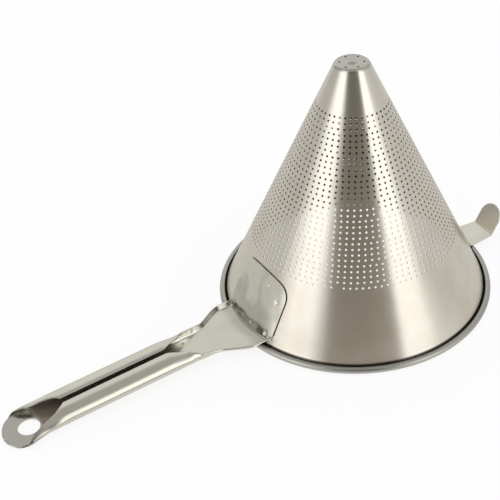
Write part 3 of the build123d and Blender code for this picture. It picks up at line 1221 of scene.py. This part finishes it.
def paintShadeInsideGrip(metal, values):
    # painted shade inside the closed grip: the sheet there is painted dull and brown
    shader = metal.node_tree.nodes["Principled BSDF"]
    _, parts = placeOn(metal)
    begins = ramp(metal, parts["X"], inMetres(values["darkFrom"]))
    ends = ramp(metal, parts["X"], inMetres(values["darkTo"]), (1, 0))
    both = work(metal, 'MULTIPLY', begins, ends)["Value"]
    bright = shader.inputs["Base Color"].links[0].from_socket
    feed(metal, shader, {
        "Base Color": blend(metal, both, bright, values["gripShadeColour"]),
        "Metallic": ramp(metal, both, (0, 1), (1, values["insideMetal"]), 'LINEAR'),
    })


def dress(piece, *materials):
    # gives the piece's material slots these, in order
    for number, material in enumerate(materials):
        if number == len(piece.data.materials):
            piece.data.materials.append(None)
        piece.data.materials[number] = material


handleMaterial = polishedHandleSteel(handleSteel)
handleInsideShaded = polishedHandleSteel(handleSteel, "handleUpperSidePaintedShade")
paintShadeInsideGrip(handleInsideShaded, handleSteel)
hookMaterial = polishedHandleSteel(hookSteel, "restHookSteel")
edgeMaterial = polishedHandleSteel(edgeSteel, "sheetEdgesPaintedHighlight")
wireAndSeamShadeMaterial = darkWireAndSeamShade(wireAndSeamShadeSteel)
dress(
    conePiece, brushedConeSteel(coneSteel, "brushedConeSteel"),
    brushedConeSteel(coneInsideSteel, "dullConeInsideWithPaintedShade"))
# each sheet's last slot, its side along the cone's wall, takes the dark wire steel as painted shadow
dress(handlePiece, handleMaterial, handleInsideShaded, edgeMaterial, wireAndSeamShadeMaterial)
dress(hookPiece, hookMaterial, hookMaterial, edgeMaterial, wireAndSeamShadeMaterial)
dress(weldPiece, handleMaterial)
dress(hookWeldPiece, handleMaterial)
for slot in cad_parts["rim_wire"].material_slots:
    slot.material = wireAndSeamShadeMaterial
print("steel finishes given")

# Studio

white = (1, 1, 1, 1)

studio = {
    "floorSize": 6.0,
    "floorGlow": 0.86,
    "floorColour": (0.93, 0.93, 0.93, 1),
    "floorInSteel": (0.65, 0.635, 0.59, 1),
    "nearFloorInSteel": (0.79, 0.765, 0.71, 1),
    "brightSide": 54.7,  # degrees
    "brightFrom": (0.1, 0.75),  # cosine of the angle to the bright side
    "shade": (86, 93),
    "shadeLevel": 0.05,
    "brightReach": (32, 60),
    "dimLevel": 0.5,
    "besideHandle": (105, 135),
    "horizon": (0.30, 0.255, 0.185, 1),
    "horizonTo": (0.12, 0.36),
    "ceiling": (0.44, 0.415, 0.40, 1),
    "ceilingFrom": (0.74, 0.92),
    # soft boxes and the dark room between them, as the steel mirrors them: degrees, brightness
    "bands": (
        (0, 1.5), (17, 1.45), (26, 0.75), (34, 0.22), (44, 0.12), (62, 0.10), (84, 0.13),
        (91, 0.35), (97, 1.45), (118, 1.5), (127, 0.88), (137, 0.68), (169, 0.57), (185, 0.51),
        (206, 0.70), (240, 0.75), (272, 0.82), (291, 0.36), (307, 0.48), (322, 0.49), (335, 0.60),
        (345, 1.05), (360, 1.5),
    ),
    "tint": (1.0, 0.975, 0.93),
}


def buildFloor(values):
    bpy.ops.mesh.primitive_plane_add(size=values["floorSize"], location=(0, 0, 0))
    floor = bpy.context.object
    floor.name = "paleFloor"
    paint = bpy.data.materials.new("paleFloor")
    paint.use_nodes = True
    paint.node_tree.nodes.clear()
    place, parts = placeOn(paint)
    path = node(paint, 'ShaderNodeLightPath')
    # pale to the camera, with part of its light its own
    seen = work(paint, 'MAXIMUM', path["Is Camera Ray"], path["Is Transmission Ray"])["Value"]
    share = work(paint, 'MULTIPLY', seen, values["floorGlow"])["Value"]
    lit = node(paint, 'ShaderNodeBsdfDiffuse', {"Color": values["floorColour"]})["BSDF"]
    glow = node(paint, 'ShaderNodeEmission', {"Color": white})["Emission"]
    pale = node(paint, 'ShaderNodeMixShader', {0: share, 1: lit, 2: glow})["Shader"]
    # a painted pool of light: the steel sees the floor brighter on the camera's side
    vectorMath = 'ShaderNodeVectorMath'
    towards = math.radians(values["brightSide"])
    ahead = (math.cos(towards), math.sin(towards), 0)
    way = work(paint, 'NORMALIZE', place, kind=vectorMath)["Vector"]
    facing = work(paint, 'DOT_PRODUCT', way, ahead, kind=vectorMath)["Value"]
    near = ramp(paint, facing, values["brightFrom"])
    tone = blend(paint, near, values["floorInSteel"], values["nearFloorInSteel"])
    # and a painted shadow, dark where the cone stands on it
    away = work(paint, 'LENGTH', place, kind=vectorMath)["Value"]
    clear = ramp(paint, away, inMetres(values["shade"]), (values["shadeLevel"], 1))
    # a painted pool of light beside the handle, bright only near it
    reach = inMetres(values["brightReach"])
    dim = ramp(paint, parts["Y"], reach, (1, values["dimLevel"]), 'LINEAR')
    beside = ramp(paint, parts["X"], inMetres(values["besideHandle"]), curve='LINEAR')
    light = work(paint, 'MULTIPLY', clear, blend(paint, beside, 1, dim, 'FLOAT'))["Value"]
    inSteel = node(paint, 'ShaderNodeEmission', {"Color": tone, "Strength": light})["Emission"]
    both = {0: path["Is Glossy Ray"], 1: pale, 2: inSteel}
    surface = node(paint, 'ShaderNodeMixShader', both)["Shader"]
    node(paint, 'ShaderNodeOutputMaterial', {"Surface": surface})
    floor.data.materials.append(paint)


def buildRoom(values):
    # plain white light, except that the steel mirrors a ring of bands under a ceiling
    world = bpy.data.worlds.new("studio")
    bpy.context.scene.world = world
    world.use_nodes = True
    world.node_tree.nodes.clear()
    _, parts = placeOn(world, "Generated")
    turn = work(world, 'ARCTAN2', parts["Y"], parts["X"])["Value"]
    share = work(world, 'DIVIDE', turn, 2 * math.pi)["Value"]
    bands = world.node_tree.nodes.new('ShaderNodeValToRGB')
    feed(world, bands, {0: work(world, 'FRACT', share)["Value"]})
    stops = bands.color_ramp.elements
    while len(stops) > 1:
        stops.remove(stops[-1])
    for number, (degrees, level) in enumerate(values["bands"]):
        stop = stops[0] if number == 0 else stops.new(degrees / 360)
        stop.position = degrees / 360
        stop.color = [level * part for part in values["tint"]] + [1]
    high = ramp(world, parts["Z"], values["ceilingFrom"])
    room = blend(world, high, bands.outputs["Color"], values["ceiling"])
    low = ramp(world, parts["Z"], values["horizonTo"], (1, 0))
    room = blend(world, low, room, values["horizon"], blend_type='LIGHTEN')
    mirrored = node(world, 'ShaderNodeBackground', {"Color": room})["Background"]
    plain = node(world, 'ShaderNodeBackground', {"Color": white})["Background"]
    path = node(world, 'ShaderNodeLightPath')
    both = {0: path["Is Glossy Ray"], 1: plain, 2: mirrored}
    surface = node(world, 'ShaderNodeMixShader', both)["Shader"]
    node(world, 'ShaderNodeOutputWorld', {"Surface": surface})


buildFloor(studio)
buildRoom(studio)
bpy.context.scene.view_settings.view_transform = 'Standard'
print("studio lit")
